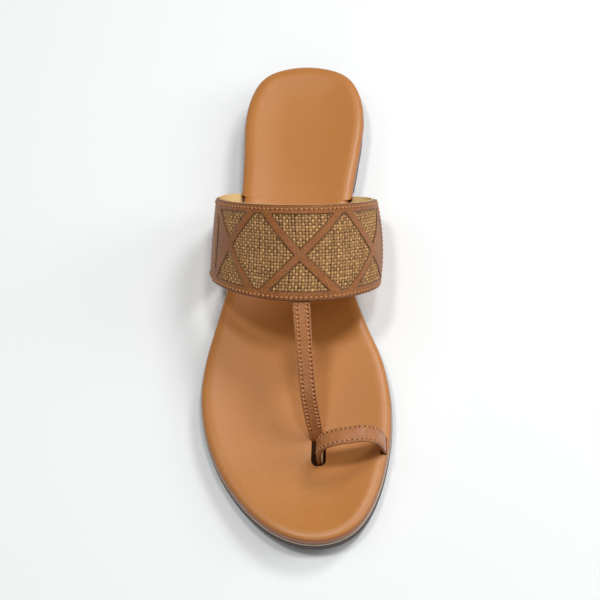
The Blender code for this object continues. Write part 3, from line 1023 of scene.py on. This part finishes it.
def threads(count, crossings, sign, darkest, lightest):
    """Flat threads side by side: place beside, place along, height, paint and flat UV, as arrays of
    (thread, step, side). Each crossing has its own tone between the darkest and the lightest.

    Height: mean + sign * wave * cos(pi * (crossing + thread)), so that neighbours alternate."""
    step = np.arange(crossings * THREAD_STEPS + 1) / THREAD_STEPS
    thread = np.arange(count)[:, None]
    lift = (sign * np.cos(math.pi * (step + thread)))[..., None]
    width = draw.uniform(*THREAD_WIDTHS, (count, 1, 1))
    phase = draw.uniform(0, 2 * math.pi, (len(DRIFT_LENGTHS), count, 1))
    drift = sum(np.sin(step / reach + turn) for reach, turn in zip(DRIFT_LENGTHS, phase)) * DRIFT
    own = draw.uniform(0, 1, (count, 1))
    knots = draw.uniform(0, 1, (count, crossings + 1))
    each = np.stack([np.interp(step, np.arange(crossings + 1), row) for row in knots])
    tone = (darkest + (lightest - darkest) * (0.35 * own + 0.65 * each))[..., None]
    turn = (np.arange(THREAD_SIDES) + 0.5) / THREAD_SIDES * 2 * math.pi - math.pi / 2
    beside = (thread + drift)[..., None] * WEAVE_PITCH + THREAD_HALF[0] * width * np.cos(turn)
    height = WEAVE_HEIGHT + WEAVE_WAVE * lift + THREAD_HALF[1] * np.sin(turn)
    along = step[:, None] * WEAVE_PITCH
    around = turn * THREAD_HALF[0]
    flat = np.stack(np.broadcast_arrays(along, around, height)[:2], axis=-1)
    return beside, along, height, {"tone": tone, "lift": lift}, flat


# %% Warp, weft and backing
WARP_TONES = (0.05, 0.65)
WEFT_TONES = (0.25, 1.0)

lengthwise, crosswise = WEAVE_CROSSINGS
beside, along, height, paint, flat = threads(crosswise + 1, lengthwise, 1, *WARP_TONES)
grid = on_band(WEAVE_ALONG[0] + along, WEAVE_ACROSS[0] + beside, height)
body("weave_warp", grid, jute, "upper", paint, flat)
beside, along, height, paint, flat = threads(lengthwise + 1, crosswise, -1, *WEFT_TONES)
grid = on_band(WEAVE_ALONG[0] + beside, WEAVE_ACROSS[0] + along, height)
body("weave_weft", grid, jute, "upper", paint, flat)

# A dark backing under the threads: its own dark brown, and painted shade in the gaps.
x, out = strap_cut(WEAVE_ACROSS[1] - WEAVE_ACROSS[0] + 1.0, *BACKING_LEVELS, 0.05, 30)
along = np.linspace(*WEAVE_ALONG, 180)[:, None]
body("weave_backing", on_band(along, x + sum(WEAVE_ACROSS) / 2, out), backing_and_gap_shade, "upper")

# %% [markdown]
# ## Lattice sheet
#
# One sheet of leather covers the woven panel, with windows cut out of it: borders along the band's edges
# and ends, and strips that cross in three X shapes. Beyond the outermost crossings the leather is whole
# but for a narrow gap beside the end border. Separate strips would need their ends hidden; here the shape
# is a distance instead. For each point of a fine grid a formula says how far inside the leather it lies,
# points close to a cut are moved on to it, and only faces inside are kept. Solidify then gives the sheet
# its wall, so every window has a real edge.

# %% How far inside the leather
BORDER_REAR = 4.5
BORDER_FRONT = 4.1
END_OUTER = ((-49.4, -51.6), (60.0, 60.0))
END_INNER = ((-45.4, -47.4), (56.0, 56.0))
STRIP_HALF = 2.0
STRIPS = (
    # along at the rear window line, at the crossing, across at the crossing, along at the front line
    (-45.6, -35.1, 21.4, -21.0),
    (-20.8, -35.1, 21.4, -46.8),
    (-12.2, 2.4, 23.2, 18.8),
    (20.4, 2.4, 23.2, -12.8),
    (27.2, 42.6, 24.0, 56.0),
    (56.0, 42.6, 24.0, 27.8),
)
WINDOW_CORNER = 0.35
END_GAP = 0.7


def blend(first, second):
    """The larger of two distances, with the crease between them rounded by a parabola."""
    overlap = np.clip(WINDOW_CORNER - np.abs(first - second), 0, None)
    return np.maximum(first, second) + overlap**2 / (4 * WINDOW_CORNER)


def past_strip(u, w, strip):
    """Distance past a strip's centre line, a gentle curve through three points, towards larger u."""
    rear_u, cross_u, cross_w, front_u = strip
    knots = np.array([BORDER_REAR, cross_w, BAND_WIDTH - BORDER_FRONT])
    centre = np.polyfit(knots, (rear_u, cross_u, front_u), 2)
    return (u - np.polyval(centre, w)) / np.hypot(1, np.polyval(np.polyder(centre), w))


def end_line(ends, side, w):
    """Where an end border's line runs: straight from the rear edge to the front edge."""
    rear, front = ends[side]
    return rear + (front - rear) * w / BAND_WIDTH


def within(u, w, ends, rear=0.0, front=0.0):
    """Distance inside two end lines and two margins along the band's edges."""
    return np.min([w - rear, BAND_WIDTH - front - w,
                   u - end_line(ends, 0, w), end_line(ends, 1, w) - u], axis=0)


def inside_sheet(u, w):
    """Distance inside the leather: positive in a border or a strip, negative in a window."""
    inside = -within(u, w, END_INNER, BORDER_REAR, BORDER_FRONT)
    for strip in STRIPS:
        inside = blend(inside, STRIP_HALF - np.abs(past_strip(u, w, strip)))
    for side, crossing in ((0, STRIPS[:2]), (1, STRIPS[-2:])):
        outwards = 2 * side - 1
        past = np.min([outwards * past_strip(u, w, strip) for strip in crossing], axis=0)
        to_border = outwards * (end_line(END_INNER, side, w) - u) - END_GAP
        inside = blend(inside, np.minimum(past + STRIP_HALF, to_border))
    return np.minimum(within(u, w, END_OUTER), inside)


# %% Cutting a flat sheet
SNAP_CELLS = 0.6
SNAP_ROUNDS = 3
TINY = 0.01
FLATTEST = 0.3
CLEAR_OF_CUT = 0.02


def die_cut(inside, u, w):
    """Points and triangles of a flat sheet cut out where inside(u, w) is positive.

    Points nearer to a cut than a share of a cell slide on to it along the distance's slope. Each cell
    is then split along the diagonal that keeps inside and outside apart."""
    points = np.stack(np.meshgrid(u, w), axis=-1).reshape(-1, 2)
    distance = inside(*points.T)
    near = np.flatnonzero(np.abs(distance) < SNAP_CELLS * (u[1] - u[0]))
    for _ in range(SNAP_ROUNDS):
        x, y = points[near].T
        slope = np.column_stack([inside(x + TINY, y) - inside(x - TINY, y),
                                 inside(x, y + TINY) - inside(x, y - TINY)]) / (2 * TINY)
        slope /= np.clip((slope**2).sum(axis=1), FLATTEST, None)[:, None]
        points[near] -= inside(x, y)[:, None] * slope
    level = np.sign(distance)
    level[near] = 0
    a, b, c, d = quads(len(w), len(u), False).T
    crossed = (level[a] * level[c] < 0)[:, None]
    triangles = np.where(crossed, np.column_stack([a, b, d, b, c, d]),
                         np.column_stack([a, b, c, a, c, d])).reshape(-1, 3)
    kept = (level[triangles] >= 0).all(axis=1)
    kept &= inside(*points[triangles].mean(axis=1).T) > CLEAR_OF_CUT
    used, triangles = np.unique(triangles[kept], return_inverse=True)
    return points[used], triangles.reshape(-1, 3)


# %% The sheet, bent on to the band
SHEET_TOP = 1.42
SHEET_WALL = 0.95
SHEET_CELL = 0.36
SHEET_SPAN = (-52.5, 61.0)
CUT_DROP = (0.16, 0.22)
CUT_BURNT = 0.3
PRESSED = 0.07
STITCH_ROWS = (2.0, BAND_WIDTH - 1.45)
STITCH_GROOVE = (0.09, 0.35)
TABS = (
    # name,            between two shares of the band's length
    ("band_tab_outer", (-FOOT_REACH, 0.19875)),
    ("band_tab_inner", (0.85542, 1 + FOOT_REACH)),
)
TAB_MARGINS = (0.12, 0.12)
TAB_LEVELS = (0.45, 1.05)
TAB_ROUNDING = 0.3

# High in the middle of the leather, rounded down at every cut, grooved under the stitches, and with the
# strips that run one way pressed over the others.
rows = np.linspace(0, BAND_WIDTH, round(BAND_WIDTH / SHEET_CELL) + 1)
points, triangles = die_cut(inside_sheet, np.arange(*SHEET_SPAN, SHEET_CELL), rows)
u, w = points.T
depth = np.clip(inside_sheet(u, w), 0, None)
drop, reach = CUT_DROP
height = SHEET_TOP - drop * np.exp(-depth / reach)
for strip in STRIPS[::2]:
    off = np.abs(past_strip(u, w, strip))
    height += PRESSED * (1 - ramp(STRIP_HALF - 0.3, STRIP_HALF + 0.1, off))
deep, width = STITCH_GROOVE
for row in STITCH_ROWS:
    height -= deep * bell(w - row, width)
sheet = piece("band_lattice", on_band(u, w, height), triangles, strap_leather, "upper",
              {"edge": np.exp(-depth / CUT_BURNT)}, points, replaces=("upper",))
wall = sheet.modifiers.new("wall", "SOLIDIFY")
wall.thickness = SHEET_WALL * MM
wall.offset = -1.0

for name, span in TABS:
    band_layer(name, strap_leather, span, TAB_MARGINS, *TAB_LEVELS, TAB_ROUNDING)

# %% [markdown]
# ## T-strap and toe loop
#
# The T-strap leaves the band's front edge and runs down to the post between the toes, turning on its edge
# as it goes. The toe loop rises from the same slit, passes over the big toe and goes down through its
# slot in the footbed. Each is a leather strap with a cream lining. A curve object with a bevel would
# twist freely, so the strap's cut is carried along a path whose sideways direction is worked out at each
# step.

# %% Paths of the narrow straps
STRAP_STEPS = 260
BURNISH_REACH = 0.3
T_STRAP_ROWS = (
    # x,    y,     z,    width, turned on edge (degrees)
    (3.2, -12.0, 52.3, 7.8, 0.0),
    (3.7, -25.0, 48.5, 7.8, 0.0),
    (4.6, -37.0, 43.5, 7.5, 0.0),
    (5.6, -49.0, 36.6, 7.2, 2.0),
    (6.8, -61.0, 28.0, 7.0, 3.0),
    (7.9, -66.2, 20.8, 6.8, 6.0),
    (8.9, -69.9, 14.8, 6.5, 8.0),
    (9.6, -72.0, 10.8, 6.2, 10.0),
    (9.9, -72.9, 8.4, 6.2, 10.0),
    (10.0, -73.1, 6.8, 6.2, 10.0),
)
TOE_LOOP_ROWS = (
    # x,     y,     z,    width, turned
    (11.7, -82.2, 6.8, 7.6, 0.0),
    (11.5, -82.2, 10.0, 7.6, 0.0),
    (11.4, -82.4, 15.0, 7.8, 0.0),
    (11.9, -82.3, 20.6, 7.8, 0.0),
    (14.4, -82.0, 25.8, 7.8, 0.0),
    (19.5, -81.4, 28.6, 7.8, 0.0),
    (26.6, -80.4, 29.3, 7.8, 0.0),
    (32.4, -79.3, 28.0, 7.8, 0.0),
    (36.9, -78.4, 23.4, 7.8, 0.0),
    (39.2, -77.9, 16.6, 7.6, 0.0),
    (39.8, -77.8, 10.6, 7.4, 0.0),
    (39.8, -77.8, 6.8, 7.4, 0.0),
)


class Strap(Sheet):
    """A narrow strap: a sheet of two rows, 1 mm to either side of a smoothed path, turned on edge."""

    def __init__(self, rows, level_axis):
        table = np.array(rows)
        length = travelled(table[:, :3])
        self.length = length[-1]
        self.steps = np.linspace(0, self.length, STRAP_STEPS)
        line = smooth(length, table, self.steps)
        path, self.widths, turn = line[:, :3], line[:, 3], np.radians(line[:, 4:])
        forward = unit(np.gradient(path, axis=0))
        level = unit(level_axis - forward * (forward @ level_axis)[:, None])
        face = np.cross(forward, level)
        sideways = level * np.cos(turn) - face * np.sin(turn)
        outward = face * np.cos(turn) + level * np.sin(turn)
        super().__init__(np.stack([path - sideways, path + sideways]), np.stack([outward, outward]))

    def lay(self, along, across, out):
        """Points at mm along, mm across from the middle, and mm out."""
        return self.at(along / self.length, (across + 1) / 2, out)

    def layer(self, name, finish, margin, low, high, rounding, burnish, **cut):
        """One layer of the strap from end to end, narrower by a margin, and burnished at each edge."""
        widest = self.widths.max()
        x, out = strap_cut(widest - 2 * margin, low, high, rounding, 44, **cut)
        grid = self.lay(self.steps[:, None], x * self.widths[:, None] / widest, out)
        from_edge = np.abs(x).max() - np.abs(x)
        body(name, grid, finish, "upper", {"edge": burnish * np.exp(-from_edge / BURNISH_REACH)})


t_strap = Strap(T_STRAP_ROWS, np.array([1.0, 0.0, 0.0]))
toe_loop = Strap(TOE_LOOP_ROWS, np.array([0.0, 1.0, 0.0]))
print(f"T-strap {t_strap.length:.0f} mm long, toe loop {toe_loop.length:.0f} mm")

# %% Strap layers
# margin, bottom, top, rounding, burnish
STRAP_OUTSIDE = (0.0, -0.20, 1.05, 0.42, 0.3)
STRAP_INSIDE = (0.45, -1.10, -0.15, 0.25, 1.3)
GROOVE_DEPTH = 0.12
NARROW_STRAPS = (
    # name,    path,     crown, stitch rows,  pitch, slant, unsewn end
    ("t_strap", t_strap,  0.06, (1.35, -1.4), 1.85,  0.38,  7.5),
    ("loop",    toe_loop, 0.15, (1.1, -1.1),  2.0,   0.15,  10.0),
)
for name, strap, crown, rows, *_ in NARROW_STRAPS:
    strap.layer(name + "_leather", lit_strap_leather, *STRAP_OUTSIDE,
                crown=crown, grooves=[(row, GROOVE_DEPTH) for row in rows])
    strap.layer(name + "_lining", lining_leather, *STRAP_INSIDE)

# %% [markdown]
# ## Stitching
#
# Every leather edge is sewn. A stitch is a short thread that dips into the leather at both ends, and
# between stitches a small dark dome is painted shade for the needle hole. One formula makes a whole row:
# a bent capsule, copied by adding a first axis to the arrays, and laid on the strap or the band like any
# other flat work.

# %% Thread, and painted shade at the needle holes
thread = Finish("sewing thread", {"Roughness": 0.65})
ply = thread.noise(0.3, detail=2.0)
thread.feed("Base Color", thread.mix(ply, (180, 115, 68), (226, 168, 116)))
thread.relief(ply, 0.05)

CAPSULE_RINGS = 7
CAPSULE_SIDES = 6
BUTTON_RINGS = 5
BUTTON_SIDES = 8
HOLE_RADIUS = 0.42
HOLE_RISE = 0.04
HOLE_THICK = 0.10
HOLE_BEYOND = 0.28
STITCH_SHARE = (0.22, 0.80)
JITTER = 0.05


def circle(sides):
    """Cosines and sines of even turns."""
    turn = np.arange(sides) / sides * 2 * math.pi
    return np.cos(turn), np.sin(turn)


def capsules(start, end, radius, height, lift):
    """Bent capsules from start to end points (n, 2), flat: along, across and out as (n, ring, side).

    Centre: start + t (end - start), out height + lift sin(pi t).
    Radius: r (1 - |2t - 1|^4)^(1/2), never quite 0."""
    t = np.linspace(0, 1, CAPSULE_RINGS)[:, None]
    level, up = circle(CAPSULE_SIDES)
    reach = radius * np.sqrt(np.clip(1 - np.abs(2 * t - 1)**4, 0.02, 1))
    start, end = start.T[..., None, None], end.T[..., None, None]
    forward = (end - start) / np.linalg.norm(end - start, axis=0)
    sideways = np.stack([-forward[1], forward[0]])
    along, across = start + t * (end - start) + reach * level * sideways
    return along, across, height + lift * np.sin(math.pi * t) + reach * up


def buttons(centre, radius, height, thick):
    """Small flattened domes at points (n, 2): dark, painted shade where the needle went through."""
    tilt = np.linspace(-0.5, 0.5, BUTTON_RINGS)[:, None] * math.pi
    along, across = (place[:, None, None] + radius * np.cos(tilt) * turned
                     for place, turned in zip(centre.T, circle(BUTTON_SIDES)))
    return along, across, height + thick * np.sin(tilt)


def sewn_row(start, end, across, pitch, slant):
    """Starts and ends of the stitches in a row: evenly spaced, each a little slanted and uneven."""
    count = int(abs(end - start) / pitch)
    along = np.linspace(start, end, count + 1)[:-1] + draw.normal(0, JITTER, count)
    step = math.copysign(pitch, end - start)
    wobble = draw.normal(0, JITTER, (2, count))
    return [np.column_stack([along + share * step, across + lean * slant + uneven])
            for share, lean, uneven in zip(STITCH_SHARE, (-1, 1), wobble)]


def sew(name, lay, rows, height, radius=0.36, lift=0.16):
    """Threads and their painted hole shade for some rows, laid by the given function of along, across and
    out.
    """
    first, last = (np.concatenate(ends) for ends in zip(*rows))
    body(f"{name}_stitches", lay(*capsules(first, last, radius, height, lift)), thread, "upper")
    # A small dark dome just past each stitch is painted shade for its needle hole.
    after = last + HOLE_BEYOND * unit(last - first)
    holes = buttons(after, HOLE_RADIUS, height + HOLE_RISE, HOLE_THICK)
    body(f"{name}_holes", lay(*holes), needle_hole_shade, "upper")


# %% Sewing the straps
SEWN_FROM = 12.0
STRAP_STITCH_LEVEL = 1.02

for name, strap, _, rows, pitch, slant, unsewn in NARROW_STRAPS:
    half = np.interp(strap.length / 2, strap.steps, strap.widths) / 2
    sew(name, strap.lay, [sewn_row(SEWN_FROM, strap.length - unsewn, row - math.copysign(half, row),
                                   pitch, slant) for row in rows], STRAP_STITCH_LEVEL)

# %% Sewing the band
BAND_PITCH = 2.1
BAND_SEWN = ((-48.5, 58.5), (-50.5, 58.5))
BAND_SLANT = 0.3
END_SLANT = 0.1
END_SEWN = (3.6, BAND_WIDTH - 3.4)
END_ROW = 1.4
TAB_SEWN = ((-78.0, -53.0), (61.5, 78.0))
TAB_STITCH_LEVEL = 1.09

rows = [sewn_row(*span, row, BAND_PITCH, BAND_SLANT) for span, row in zip(BAND_SEWN, STITCH_ROWS)]
for side, inwards in ((0, END_ROW), (1, -END_ROW)):
    # Up an end border the row follows the border's line, so its stitches are laid turned.
    rows.append([np.column_stack([end_line(END_OUTER, side, w) + inwards + u, w])
                 for w, u in (place.T for place in sewn_row(*END_SEWN, 0.0, BAND_PITCH, END_SLANT))])
sew("band", on_band, rows, SHEET_TOP - STITCH_GROOVE[0], radius=0.34, lift=0.10)
rows = [sewn_row(*span, row, BAND_PITCH, END_SLANT) for span in TAB_SEWN for row in STITCH_ROWS]
sew("tab", on_band, rows, TAB_STITCH_LEVEL)
